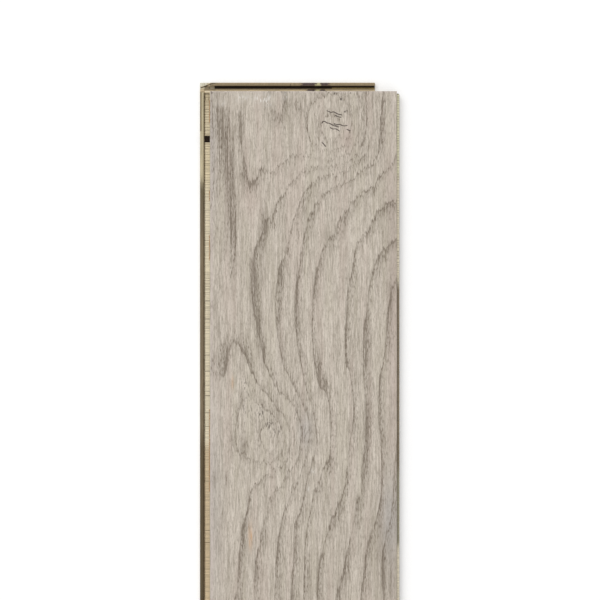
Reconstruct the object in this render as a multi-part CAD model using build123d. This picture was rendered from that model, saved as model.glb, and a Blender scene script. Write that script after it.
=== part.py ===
from build123d import *
import os
from dataclasses import dataclass

# An engineered hardwood floorboard with click edges, lying face up.
# +Z is up, +Y runs along the grain to the end that carries a lip, and +X points to the tongue edge.
# The origin is on the underside, at the middle of the whole board, lips and tongues included.
# Lengths are millimetres. A reach is measured outwards from a joint plane, a height from the underside.

# Driving dimensions of the board
face_width = 190.0
face_length = 1900.0
wear_thickness = 3.0
core_ply_thickness = 1.8
backing_thickness = 2.0
bevel_width = 1.5
bevel_depth = 1.0
arris = 0.4

# Layers from the face down. The grain turns a quarter from each core ply to the next.
layer_stack = (
    ("oak_wear_layer", wear_thickness),
    ("cross_ply_1", core_ply_thickness),
    ("long_ply_2", core_ply_thickness),
    ("cross_ply_3", core_ply_thickness),
    ("long_ply_4", core_ply_thickness),
    ("cross_ply_5", core_ply_thickness),
    ("backing_ply", backing_thickness),
)

# Play that the milling leaves between two joined boards
groove_gap = 0.2
seat_gap = 0.2
flank_gap = 0.05
crest_gap = 0.6
tip_gap = 0.8
lead_in = 0.5

# Rounding that the cutters leave
knee_round = 0.5
flank_round = 0.3
crest_round = 0.6
tip_round = 0.3

# Corners where one milled edge would foul the other
corner_relief = 22.0
tongue_setback = 2.0
tongue_chamfer = 1.2

# Wedge broken out of the corner where the two lips meet
chip_length = 10.5
chip_depth = 6.0

# The ply under the long lip's seat has one joint between its veneers that stands open
open_joint_ply = "cross_ply_5"
open_joint_width = 6.8
open_joint_from_end = 48.0


@dataclass
class ClickProfile:
    """A groove over a lip with a locking ridge, and the tongue edge that drops into it."""

    tongue_length: float
    tongue_top: float
    tongue_thickness: float
    nose_radius: float
    knee_setback: float
    mouth_reach: float
    mouth_height: float
    seat_width: float
    seat_height: float
    channel_lean: float
    channel_width: float
    channel_floor: float
    flank_lean: float
    crest_width: float
    crest_height: float
    tip_slope: float
    tip_height: float

    @property
    def seat_reach(self):
        return self.mouth_reach + self.seat_width

    @property
    def flank_reach(self):
        return self.seat_reach + self.channel_lean + self.channel_width

    @property
    def crest_reach(self):
        return self.flank_reach + self.flank_lean + self.crest_width

    @property
    def lip_length(self):
        return self.crest_reach + self.tip_slope

    @property
    def tongue_bottom(self):
        return self.tongue_top - self.tongue_thickness

    def flank_at(self, height):
        """Reach of the ridge's locking flank at a height."""
        share = (height - self.channel_floor) / (self.crest_height - self.channel_floor)
        return self.flank_reach + self.flank_lean * share


# The end's seat lies lower than the long side's, so it runs on across the long lip at their corner
long_click = ClickProfile(
    tongue_length=2.8, tongue_top=9.6, tongue_thickness=4.3, nose_radius=1.2,
    knee_setback=1.4, mouth_reach=0.4, mouth_height=3.75,
    seat_width=4.8, seat_height=3.65,
    channel_lean=0.2, channel_width=0.8, channel_floor=2.9,
    flank_lean=0.8, crest_width=1.7, crest_height=5.1,
    tip_slope=1.9, tip_height=4.0,
)
end_click = ClickProfile(
    tongue_length=2.4, tongue_top=9.6, tongue_thickness=4.1, nose_radius=1.1,
    knee_setback=1.2, mouth_reach=0.2, mouth_height=3.3,
    seat_width=2.9, seat_height=2.9,
    channel_lean=0.3, channel_width=2.4, channel_floor=1.5,
    flank_lean=0.4, crest_width=2.2, crest_height=5.1,
    tip_slope=1.2, tip_height=4.2,
)

thickness = sum(depth for name, depth in layer_stack)
overall_width = long_click.lip_length + face_width + long_click.tongue_length
overall_length = end_click.lip_length + face_length + end_click.tongue_length
groove_joint_x = long_click.lip_length - overall_width / 2
tongue_joint_x = groove_joint_x + face_width
groove_joint_y = overall_length / 2 - end_click.lip_length
tongue_joint_y = groove_joint_y - face_length


def groove_edge(click):
    """Corners of the groove and its lip, from the face down: reach, height and rounding."""
    roof = click.tongue_top + groove_gap
    back = -(click.tongue_length + groove_gap)
    floor = click.tongue_bottom - seat_gap
    return [
        (-bevel_width, thickness, 0),
        (0, thickness - bevel_depth, 0),
        (0, roof + lead_in, 0),
        (-lead_in, roof, 0),
        (back, roof, click.nose_radius),
        (back, floor, click.nose_radius / 2),
        (-click.knee_setback, floor, knee_round),
        (click.mouth_reach, click.mouth_height, 0),
        (click.seat_reach, click.seat_height, 0),
        (click.seat_reach + click.channel_lean, click.channel_floor, 0),
        (click.flank_reach, click.channel_floor, 0),
        (click.flank_reach + click.flank_lean, click.crest_height, flank_round),
        (click.crest_reach, click.crest_height, crest_round),
        (click.lip_length, click.tip_height, tip_round),
        (click.lip_length, arris, 0),
        (click.lip_length - arris, 0, 0),
    ]


def tongue_edge(click):
    """Corners of the tongue and the housing under it for a neighbour's lip, from the face down."""
    housing_top = click.crest_height + crest_gap
    seat = click.seat_height + seat_gap
    return [
        (-bevel_width, thickness, 0),
        (0, thickness - bevel_depth, 0),
        (0, click.tongue_top, 0),
        (click.tongue_length, click.tongue_top, click.nose_radius),
        (click.tongue_length, click.tongue_bottom, click.nose_radius / 2),
        (click.knee_setback, click.tongue_bottom, knee_round),
        (-click.mouth_reach, click.mouth_height + seat_gap, 0),
        (flank_gap - click.flank_at(seat), seat, 0),
        (flank_gap - click.flank_at(housing_top), housing_top, 0),
        (-(click.crest_reach + crest_gap), housing_top, 0),
        (-(click.lip_length + tip_gap), click.tip_height + crest_gap, 0),
        (-(click.lip_length + tip_gap), 0, 0),
    ]


def section(high_joint, high_edge, low_joint, low_edge):
    """Closed cross-section between the joint planes on the high and the low side of an axis."""
    corners = [(high_joint + reach, height, radius) for reach, height, radius in high_edge]
    corners += [(low_joint - reach, height, radius) for reach, height, radius in reversed(low_edge)]
    points = [(along, height) for along, height, radius in corners]
    radii = [radius for along, height, radius in corners]
    return make_face(FilletPolyline(*points, radius=radii, close=True))


def milled_board():
    """The whole laminated blank after both pairs of edges are milled."""
    across = section(tongue_joint_x, tongue_edge(long_click), groove_joint_x, groove_edge(long_click))
    along = section(groove_joint_y, groove_edge(end_click), tongue_joint_y, tongue_edge(end_click))
    long_pass = extrude(Plane.XZ * across, amount=overall_length, both=True)
    end_pass = extrude(Plane.YZ * along, amount=overall_width, both=True)
    return long_pass & end_pass


def block(x_range, y_range, z_range):
    """Box between two limits on each axis."""
    ranges = (x_range, y_range, z_range)
    middle = [(low + high) / 2 for low, high in ranges]
    return Pos(*middle) * Box(*[high - low for low, high in ranges])


def corner_reliefs():
    """What the milling takes off the edges at the board's corners."""
    left, right = -overall_width, overall_width
    near, far = -overall_length, overall_length
    height = (-thickness, 2 * thickness)
    tongue_end = groove_joint_y - tongue_setback
    tongue_tip = tongue_joint_x + long_click.tongue_length
    end_lip_stop = block((tongue_joint_x - corner_relief, right), (groove_joint_y, far), height)
    long_lip_stop = block((left, groove_joint_x), (near, tongue_joint_y + corner_relief), height)
    tongue_stop = block((tongue_joint_x, right), (tongue_end, far), height)
    chamfer = Polyline(
        (tongue_tip, tongue_end - tongue_chamfer),
        (tongue_tip, tongue_end),
        (tongue_tip - tongue_chamfer, tongue_end),
        close=True,
    )
    return end_lip_stop + long_lip_stop + tongue_stop + extrude(make_face(chamfer), amount=thickness)


def lip_corner_chip():
    """Wedge broken out of the lips' corner, down to the backing ply."""
    corner_x = -overall_width / 2
    corner_y = overall_length / 2
    wedge = Polyline(
        (corner_x, corner_y),
        (corner_x, corner_y - chip_depth),
        (corner_x + chip_length, corner_y),
        close=True,
    )
    return Pos(0, 0, backing_thickness) * extrude(make_face(wedge), amount=thickness)


def open_joint():
    """Gap across the board between two veneers of one core ply."""
    middle = groove_joint_y - open_joint_from_end
    half = open_joint_width / 2
    return block((-overall_width, overall_width), (middle - half, middle + half), (0, thickness))


def laminate():
    """Every layer of the milled board by name, from the face down."""
    board = milled_board() - corner_reliefs() - lip_corner_chip()
    layers = {}
    top = thickness
    for name, depth in layer_stack:
        bottom = top - depth
        slab = block((-overall_width, overall_width), (-overall_length, overall_length), (bottom, top))
        layers[name] = board & slab
        top = bottom
    layers[open_joint_ply] -= open_joint()
    return layers


os.makedirs("parts", exist_ok=True)
for name, shape in laminate().items():
    export_step(Compound(children=shape.solids(), label=name), f"parts/{name}.step")
    print(name, len(shape.solids()), "solids", round(shape.volume), "cubic mm")
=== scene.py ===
"""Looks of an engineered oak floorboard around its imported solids.

Places on the board are given as (across, along): millimetres from the left joint plane, and from the joint
plane of the end that carries a lip. Blender's own lengths are metres.
"""

import logging
import math
from dataclasses import dataclass
from enum import Enum

import bmesh
import bpy
import numpy as np
from mathutils import Euler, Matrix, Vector


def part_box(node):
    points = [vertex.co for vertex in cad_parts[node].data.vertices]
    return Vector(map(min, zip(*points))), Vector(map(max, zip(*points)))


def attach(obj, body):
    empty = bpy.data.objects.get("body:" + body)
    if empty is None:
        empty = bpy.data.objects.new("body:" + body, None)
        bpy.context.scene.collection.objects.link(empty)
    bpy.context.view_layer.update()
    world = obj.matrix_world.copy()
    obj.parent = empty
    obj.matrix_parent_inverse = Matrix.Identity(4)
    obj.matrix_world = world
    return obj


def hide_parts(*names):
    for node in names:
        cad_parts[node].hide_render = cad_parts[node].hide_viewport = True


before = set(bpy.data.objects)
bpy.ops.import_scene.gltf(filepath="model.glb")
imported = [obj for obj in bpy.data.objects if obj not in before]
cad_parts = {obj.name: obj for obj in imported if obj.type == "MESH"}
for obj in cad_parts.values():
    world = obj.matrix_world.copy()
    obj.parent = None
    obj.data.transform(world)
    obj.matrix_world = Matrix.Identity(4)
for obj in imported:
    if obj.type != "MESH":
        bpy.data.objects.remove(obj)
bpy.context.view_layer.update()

MM = 0.001
log = logging.getLogger("floorboard")

Colour = tuple[float, float, float]
Place = tuple[float, float]


def srgb(red: float, green: float, blue: float) -> Colour:
    """Turn a colour in display values from 0 to 255 into the linear values that shaders take.

    Args:
        red: Display value of red.
        green: Display value of green.
        blue: Display value of blue.

    Returns:
        The colour in linear values from 0 to 1.
    """
    white, toe, slope, lift, power = 255, 0.04045, 12.92, 0.055, 2.4
    shares = (red / white, green / white, blue / white)
    return tuple(s / slope if s <= toe else ((s + lift) / (1 + lift)) ** power for s in shares)


class Grain(Enum):
    """Which way the fibres of a layer run."""

    ALONG = "along"
    ACROSS = "across"


@dataclass(frozen=True)
class BoardPlan:
    """Where the milled board's main planes are, read from its solids.

    Attributes:
        left: X of the left joint plane.
        right: X of the right joint plane.
        near: Y of the far joint plane, at the end that has only a tongue.
        end: Y of the joint plane at the end that carries a lip.
        face: Height of the oak face.
        core_top: Height where the oak meets the core.
        bevel_width: Width of the face's bevels.
        bevel_depth: Depth of the face's bevels.
    """

    left: float
    right: float
    near: float
    end: float
    face: float
    core_top: float
    bevel_width: float
    bevel_depth: float

    @classmethod
    def from_solids(cls) -> "BoardPlan":
        """Read the planes from the oak layer's own corners.

        Returns:
            The plan of the board.
        """
        touching = 0.1 * MM
        low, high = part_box("oak_wear_layer")
        corners = [corner.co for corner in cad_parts["oak_wear_layer"].data.vertices]
        flat_left = min(co.x for co in corners if co.z > high.z - touching)
        side_top = max(co.z for co in corners if co.x < low.x + touching)
        return cls(low.x, high.x, low.y, high.y, high.z, low.z, flat_left - low.x, high.z - side_top)

    def places(self, points: np.ndarray) -> np.ndarray:
        """Turn points of the row frame into places on the board.

        Args:
            points: Rows of x, y and z in metres.

        Returns:
            Rows of across and along in millimetres.
        """
        return np.stack([(points[:, 0] - self.left) / MM, (self.end - points[:, 1]) / MM], axis=1)


@dataclass(frozen=True)
class RingLine:
    """One growth ring's dark edge.

    Attributes:
        order: Its number, which rises towards the board's right side and falls towards the knots.
        places: Places that it passes.
    """

    order: float
    places: tuple[Place, ...]


@dataclass(frozen=True)
class Spot:
    """A soft oval patch on the face.

    Attributes:
        across: Its middle, across the board.
        along: Its middle, along the board.
        half_width: How far across it reaches before it has mostly faded.
        half_length: The same along the board.
        strength: How strong its middle is.
    """

    across: float
    along: float
    half_width: float
    half_length: float
    strength: float = 1.0


# Ring edges in the photographed stretch, with those at the left side and in the knots last
RING_LINES = (
    RingLine(0, ((62, 2), (64, 19), (66, 33), (70, 19), (76, 4))),
    RingLine(1, (
        (31, 2), (32, 22), (33, 56), (37, 82), (41, 96), (47, 89), (54, 71), (61, 84), (67, 79), (78, 71),
        (88, 67), (101, 66), (120, 69), (136, 65), (148, 50), (152, 30), (152, 8),
    )),
    RingLine(1, (
        (-2, 294), (3, 296), (9, 296), (14, 294), (16.4, 288), (19, 274), (21.4, 260), (23.5, 250),
        (29, 259), (35.6, 268), (42, 284), (45, 293), (52, 301), (60, 311), (67, 323), (76, 338),
        (81, 355), (80, 372), (68, 381), (58, 391), (47, 397), (40, 411), (39, 424), (35, 436), (31, 456),
        (30, 482), (27, 508),
    )),
    RingLine(2, (
        (100, 77), (87, 87), (74, 105), (70, 113), (63, 131), (57, 124), (54, 144), (42, 170), (43, 190),
        (43, 209), (47, 240), (54, 268), (60, 286), (68, 302), (78, 313), (87, 322), (93, 337), (94, 353),
        (88, 371), (79, 387), (74, 398), (66, 408), (61, 413), (58, 430), (53, 441), (51, 463), (46, 478),
        (45, 516),
    )),
    RingLine(2, ((115, 77), (131, 74), (147, 66), (155, 50), (158, 30), (157, 8))),
    RingLine(3, (
        (143, 76), (120, 84), (98, 103), (93, 113), (86, 126), (83, 142), (78, 162), (70, 180), (69, 192),
        (68, 205), (68, 242), (70, 261), (74, 276), (82, 293), (92, 311), (99, 327), (101, 345), (98, 367),
        (92, 388), (83, 405), (77, 421), (74, 436), (70, 454), (67, 480), (66, 508),
    )),
    RingLine(3, ((156, 68), (163, 52), (165, 32), (165, 8))),
    RingLine(4, (
        (175, 4), (173, 21), (172, 40), (170, 61), (165, 73), (152, 80), (133, 92), (120, 103), (109, 114),
        (103, 125), (98, 138), (93, 157), (91, 177), (87, 206), (87, 229), (89, 252), (92, 274), (94, 291),
        (98, 307), (104, 322), (107, 340), (106, 366), (101, 386), (96, 407), (92, 428), (87, 443),
        (86, 469), (84, 502),
    )),
    RingLine(5, (
        (188, 72), (179, 82), (171, 88), (163, 100), (156, 102), (149, 108), (140, 121), (131, 131),
        (127, 144), (115, 162), (107, 190), (103, 210), (103, 235), (105, 261), (108, 281), (111, 300),
        (115, 306), (120, 302), (121, 316), (123, 340), (121, 366), (122, 375), (115, 382), (111, 398),
        (105, 412), (101, 430), (97, 456), (96, 489),
    )),
    RingLine(6, (
        (188, 113), (178, 115), (171, 120), (167, 132), (161, 142), (148, 157), (145, 184), (141, 207),
        (139, 231), (137, 255), (138, 278), (142, 286), (144, 307), (145, 324), (143, 353), (140, 379),
        (135, 405), (130, 425), (123, 432), (119, 450), (113, 467), (108, 495),
    )),
    RingLine(7, (
        (189, 148), (181, 155), (171, 168), (167, 180), (163, 200), (161, 213), (156, 239), (156, 281),
        (158, 307), (159, 333), (158, 359), (154, 385), (150, 417), (145, 443), (139, 469), (134, 495),
        (130, 508),
    )),
    RingLine(8, (
        (189, 194), (184, 203), (181, 222), (180, 248), (176, 274), (172, 289), (171, 314), (172, 340),
        (174, 353), (173, 391), (172, 424), (168, 438), (161, 460), (157, 482), (154, 508),
    )),
    RingLine(9, ((191, 330), (188, 380), (186, 420), (179, 448), (174, 466), (175, 484), (176, 508))),
    RingLine(2, ((19, 33), (22, 62), (24, 100), (26, 140), (24, 172), (19, 196), (8, 214), (-2, 221))),
    RingLine(3, ((13, 30), (15, 60), (18, 92), (19, 122), (18, 152), (12, 182), (2, 198))),
    RingLine(4, ((9, 10), (10, 40), (12, 70), (12, 100), (9, 130), (3, 158))),
    RingLine(0, (
        (107, 11), (101, 21), (99, 35), (102, 48), (109, 58), (122, 61), (134, 57), (141, 46), (144, 32),
        (141, 18), (130, 8), (118, 6),
    )),
    RingLine(-1, ((112, 38), (115, 47), (123, 51), (132, 46), (134, 36), (128, 28), (118, 28))),
    RingLine(0, (
        (33, 316), (28, 333), (27, 353), (30, 367), (42, 372), (52, 376), (64, 374), (73, 366), (74, 351),
        (69, 337), (60, 326), (48, 316), (40, 311),
    )),
    RingLine(-1, ((53, 346), (52, 358), (57, 366), (65, 367), (69, 359), (68, 350), (62, 342), (56, 341))),
)

# Where the rings show more strongly
HEAVY_RINGS = (
    Spot(40, 88, 8, 14, 0.8), Spot(46, 196, 8, 60, 0.4), Spot(56, 136, 6, 18, 0.6),
    Spot(182, 116, 10, 12, 0.6), Spot(184, 158, 8, 16, 0.5), Spot(14, 272, 8, 18, 0.9),
    Spot(34, 266, 9, 14, 0.6), Spot(88, 206, 4, 24, 0.6), Spot(106, 190, 5, 22, 0.6),
    Spot(132, 136, 10, 18, 0.3), Spot(98, 124, 8, 18, 0.6), Spot(174, 110, 14, 22, 0.4),
    Spot(140, 205, 6, 40, 0.3), Spot(178, 190, 10, 36, 0.5), Spot(114, 292, 6, 18, 0.6),
    Spot(173, 34, 4, 40, 0.7), Spot(138, 272, 5, 24, 0.5), Spot(158, 250, 8, 34, 0.5),
    Spot(130, 425, 7, 20, 0.6), Spot(170, 445, 10, 34, 0.7), Spot(36, 450, 7, 40, 0.4),
    Spot(122, 376, 6, 14, 0.8), Spot(96, 430, 8, 50, 0.3), Spot(139, 480, 8, 26, 0.7),
    Spot(110, 480, 7, 30, 0.5),
)

# Where the rings fade
FADED_RINGS = (
    Spot(20, 90, 13, 90, 0.8), Spot(84, 345, 8, 32, 0.9), Spot(72, 345, 7, 20, 0.7),
    Spot(20, 262, 4, 16, 0.6), Spot(164, 26, 4, 30, 1.1), Spot(151, 26, 4, 26, 0.8),
    Spot(141, 24, 6, 14, 1.0), Spot(31, 6, 6, 14, 1.5), Spot(14, 4, 12, 12, 1.2),
    Spot(118, 66, 22, 10, 0.9), Spot(66, 14, 14, 20, 0.7), Spot(8, 170, 10, 70, 0.9),
    Spot(14, 204, 12, 14, 1.0), Spot(122, 8, 16, 6, 0.6), Spot(124, 38, 12, 14, 1.4),
    Spot(62, 356, 11, 13, 1.3), Spot(60, 372, 20, 8, 0.4), Spot(70, 310, 10, 10, 0.3),
    Spot(74, 400, 20, 16, 0.4), Spot(45, 312, 9, 9, 0.8), Spot(5, 295, 8, 9, 1.6),
)

# Slender dark streaks along the grain
STREAKS = (
    Spot(8, 22, 1.3, 18, 0.9), Spot(13, 44, 1.4, 32, 1.1), Spot(17, 64, 1.4, 34, 1.1),
    Spot(22, 96, 1.4, 36, 0.8), Spot(24, 66, 1.2, 26, 0.5), Spot(19, 112, 1.3, 24, 0.8),
    Spot(22, 140, 1.2, 26, 0.8), Spot(25, 150, 1.3, 24, 0.7), Spot(32.4, 38, 1.6, 18, 0.8),
    Spot(35, 84, 2.0, 14, 0.6), Spot(43, 92, 3.0, 8, 0.6), Spot(54, 138, 1.4, 22, 0.8),
    Spot(58, 134, 1.3, 16, 0.7), Spot(51, 152, 1.2, 12, 0.5), Spot(45, 182, 2.2, 18, 0.9),
    Spot(41, 188, 1.2, 20, 0.6), Spot(53, 186, 1.4, 22, 0.6), Spot(49, 205, 1.4, 18, 0.6),
    Spot(50, 240, 2.4, 22, 0.9), Spot(55, 268, 1.6, 14, 0.8), Spot(45, 228, 1.3, 16, 0.6),
    Spot(72, 186, 2.0, 12, 0.8), Spot(70, 224, 1.6, 24, 0.6), Spot(76, 262, 2.0, 18, 0.5),
    Spot(88, 206, 1.5, 18, 0.6), Spot(107, 196, 2.2, 12, 0.8), Spot(112, 286, 1.4, 18, 0.8),
    Spot(117, 298, 1.2, 14, 0.7), Spot(139, 228, 1.5, 10, 0.6), Spot(158, 258, 2.8, 22, 0.5),
    Spot(163, 198, 1.4, 14, 0.5), Spot(184, 214, 1.8, 20, 0.6), Spot(181, 120, 5.0, 8, 0.35),
    Spot(176, 128, 1.6, 16, 0.5), Spot(3, 276, 1.5, 12, 0.9), Spot(9.2, 240, 0.8, 10, 1.0),
    Spot(10.8, 254, 0.9, 10, 1.0), Spot(13, 268, 1.0, 10, 1.1), Spot(15, 281, 1.3, 9, 1.2),
    Spot(17.6, 276, 1.0, 8, 1.0), Spot(20, 265, 1.0, 8, 0.9), Spot(35, 268, 3.0, 9, 0.6),
    Spot(41, 276, 1.6, 10, 0.6), Spot(36, 360, 3.2, 11, 0.8), Spot(28, 338, 1.0, 12, 0.7),
    Spot(160, 330, 3.0, 24, 0.5), Spot(159, 372, 3.0, 20, 0.6), Spot(173, 300, 1.4, 20, 0.5),
    Spot(88, 324, 1.2, 8, 0.7), Spot(145, 342, 1.6, 10, 0.5), Spot(4, 395, 1.7, 10, 1.2),
    Spot(17, 394, 1.8, 9, 1.1), Spot(35, 440, 1.6, 7, 0.8), Spot(139, 402, 1.8, 14, 0.5),
    Spot(87, 14, 1.2, 9, 0.5), Spot(92, 16, 1.2, 10, 0.5), Spot(81, 12, 1.0, 8, 0.4),
    Spot(97, 12, 1.0, 9, 0.4), Spot(66, 26, 1.4, 12, 0.5), Spot(177, 500, 1.3, 15, 0.7),
    Spot(186.5, 504, 1.4, 12, 0.6), Spot(151, 420, 1.3, 6, 0.6), Spot(130, 509, 1.8, 8, 0.7),
    Spot(56, 447, 1.2, 7, 0.6), Spot(47.7, 488, 1.4, 9, 0.6), Spot(12, 430, 1.0, 12, 0.4),
    Spot(7, 460, 1.0, 16, 0.35), Spot(20, 470, 1.0, 18, 0.3), Spot(175, 452, 4.0, 22, 0.35),
    Spot(184, 470, 1.6, 18, 0.4), Spot(170, 476, 1.4, 16, 0.4),
)

# Broader bands of hairline stripes along the grain
BANDS = (
    Spot(183, 122, 5, 12, 0.6), Spot(10.5, 42, 1.8, 34, 1.2), Spot(16, 62, 2.8, 34, 1.0),
    Spot(20.5, 96, 3.5, 44, 1.0), Spot(23, 140, 3.2, 40, 0.9), Spot(25, 176, 2.0, 20, 0.5),
    Spot(32.4, 36, 2.8, 17, 1.3), Spot(34, 70, 1.8, 18, 0.7), Spot(55, 141, 3.4, 22, 1.0),
    Spot(45, 183, 3.4, 22, 1.0), Spot(71.5, 189, 2.4, 14, 0.9), Spot(89.5, 186, 2.0, 18, 0.8),
    Spot(113, 178, 3.0, 14, 0.7), Spot(44, 212, 3.0, 26, 1.0), Spot(49.5, 247, 3.2, 22, 1.0),
    Spot(55, 270, 2.4, 12, 0.8), Spot(70.5, 226, 2.0, 36, 0.7), Spot(73, 268, 3.0, 14, 0.7),
    Spot(87.5, 206, 1.8, 22, 0.8), Spot(106, 206, 2.6, 20, 0.8), Spot(107, 250, 2.0, 26, 0.5),
    Spot(111.5, 284, 2.6, 18, 0.9), Spot(115.5, 300, 2.6, 8, 0.8), Spot(140, 232, 2.0, 20, 0.5),
    Spot(158.5, 258, 2.8, 22, 1.0), Spot(160.5, 340, 2.6, 26, 0.7), Spot(183.5, 216, 2.2, 24, 0.7),
    Spot(33, 360, 4.4, 12, 1.2), Spot(161, 385, 2.0, 20, 0.5), Spot(33.5, 452, 2.4, 26, 0.8),
    Spot(53, 460, 2.0, 22, 0.6), Spot(138, 482, 3.2, 22, 0.8), Spot(131, 505, 3.0, 14, 0.9),
    Spot(174, 488, 3.0, 26, 0.8), Spot(184, 500, 2.6, 22, 0.7), Spot(158, 478, 2.2, 20, 0.7),
    Spot(152, 432, 2.4, 10, 0.7), Spot(124, 436, 2.4, 12, 0.7), Spot(88, 455, 1.8, 26, 0.6),
    Spot(68, 470, 1.8, 20, 0.6),
)

# Groups of black flecks in open pores
FLECKS = (
    Spot(51, 327, 5, 7, 1.0), Spot(60, 339, 5, 7, 0.9), Spot(68, 346, 5, 4, 0.9),
    Spot(88.5, 322, 1.6, 10, 1.0), Spot(36, 306, 4, 12, 0.8), Spot(41, 328, 3, 9, 0.7),
    Spot(34, 330, 2, 12, 0.6), Spot(133.5, 8, 1.6, 2.4, 0.9), Spot(139, 19, 3, 4, 0.7),
    Spot(114.5, 50, 2, 4, 0.8), Spot(128, 3.0, 5, 1.6, 1.0), Spot(140, 2.6, 7, 1.4, 1.0),
)

# Pores filled with pale lime
CHALK_SPOTS = (
    Spot(50, 8, 5, 6, 1.0), Spot(59, 9, 4, 6, 1.0), Spot(12, 12, 4, 4, 0.6), Spot(32, 7, 8, 4, 0.7),
    Spot(76, 5, 5, 4, 0.6), Spot(105, 386, 2, 3, 1.0), Spot(100, 404, 1.5, 3, 0.7),
)

# Browner areas
DUSK_SPOTS = (
    Spot(187, 165, 10, 75, 1.0), Spot(185, 345, 9, 60, 0.7), Spot(178, 470, 20, 60, 1.0),
    Spot(90, 500, 80, 45, 0.3), Spot(128, 480, 18, 36, 0.3), Spot(22, 115, 16, 60, 0.3),
)

# Greyer areas
COOL_SPOTS = (
    Spot(183, 436, 9, 42, 0.9), Spot(97, 345, 7, 16, 0.7), Spot(3, 60, 4, 60, 0.5),
    Spot(4, 420, 8, 120, 0.4),
)

# Amber streaks
WARM_SPOTS = (
    Spot(41, 452, 1.6, 11, 1.0), Spot(23, 297, 1.2, 7, 0.4),
)

# Pinker areas
ROSY_SPOTS = (
    Spot(140, 48, 8, 14, 1.0), Spot(42, 110, 10, 22, 0.7), Spot(185, 90, 8, 40, 0.6),
    Spot(187, 250, 7, 90, 0.8),
)

# The two knots
KNOT_SPOTS = (
    Spot(126, 34, 26, 34, 1.0), Spot(60, 358, 22, 24, 0.55),
)

# Checks in the upper knot, each by its corners from left to right
KNOT_CRACKS = (
    (
        (113.6, 32.6), (115, 30.9), (117, 31), (119, 32.4), (122, 33), (125.5, 35.2), (128.5, 35.9),
        (131, 36.5),
    ),
    ((126, 33.1), (128.5, 33.9), (132, 34.0), (136, 35.5), (139.3, 35.1)),
    ((122.4, 37.2), (125, 38.6), (128, 38.4), (131.5, 40.6)),
    ((119, 20), (122.5, 21.6), (126, 21.2), (130.5, 23.6), (134, 24.2)),
    ((127.5, 24.9), (130.5, 26.2), (133, 26.6)),
    ((139.4, 39), (142.5, 40.4)),
    ((114, 52.2), (116.2, 54.6), (117.6, 56.4)),
)

# Small dark holes, one of them at the face's corner
PITS = (
    Spot(1.9, 1.9, 0.9, 0.9, 1.3), Spot(133.2, 8.2, 1.6, 1.5, 1.3), Spot(137, 21, 1.2, 1.0, 1.1),
    Spot(115, 53, 1.2, 1.4, 0.8),
)


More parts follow.
